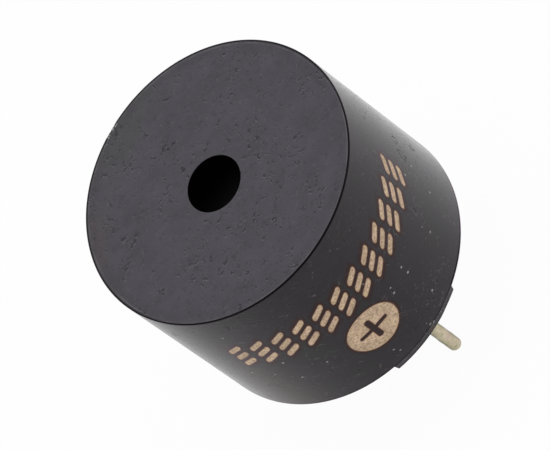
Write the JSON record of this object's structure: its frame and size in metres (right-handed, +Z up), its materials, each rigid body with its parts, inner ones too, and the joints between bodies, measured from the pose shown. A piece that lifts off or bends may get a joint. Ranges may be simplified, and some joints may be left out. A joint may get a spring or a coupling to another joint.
{
  "type": "magnetic buzzer",
  "caption": "Round black self-driven magnetic buzzer: sound hole in the flat top, polarity mark on the side, standoff feet and straight tinned pins for a circuit board.",
  "frame": {"origin": "centre of the seating plane under the feet, midway between the two pins", "axes": "+Z up through the sound hole, pins down along -Z; the positive pin is at -Y and the negative pin at +Y"},
  "size_m": [0.012, 0.012, 0.0136],
  "materials": {
    "case_plastic": "moulded, matt, with fine pits and light scuffs",
    "ring_plastic": "natural moulded",
    "diaphragm_steel": "rolled strip with a black coat",
    "armature_steel": "stamped, with a black coat",
    "yoke_steel": "plated, stamped",
    "core_iron": "plated, cold headed",
    "magnet_ferrite": "bonded ferrite, moulded",
    "washer_film": "insulating board",
    "sleeve_film": "polyester film",
    "winding_wire": "enamelled copper wire, gloss",
    "coil_tape": "polyester tape",
    "board_laminate": "glass laminate with green solder mask",
    "driver_parts": "moulded and tinned small parts",
    "solder": "bright",
    "tinned_pin": "dull tin plate",
    "potting_epoxy": "cast epoxy, half gloss"
  },
  "bodies": {
    "root": {"case": "case_plastic", "support_ring": "ring_plastic", "diaphragm": "diaphragm_steel", "armature_disc": "armature_steel", "yoke_plate": "yoke_steel", "iron_core": "core_iron", "ring_magnet": "magnet_ferrite", "coil_washer": "washer_film", "core_sleeve": "sleeve_film", "feedback_winding": "winding_wire", "drive_winding": "winding_wire", "coil_tape": "coil_tape", "winding_ends": "winding_wire", "circuit_board": "board_laminate", "transistor": "driver_parts", "bias_resistor": "driver_parts", "clamp_diode": "driver_parts", "lead_solder": "solder", "pin_solder": "solder", "positive_pin": "tinned_pin", "negative_pin": "tinned_pin", "potting": "potting_epoxy"}
  },
  "joints": []
}
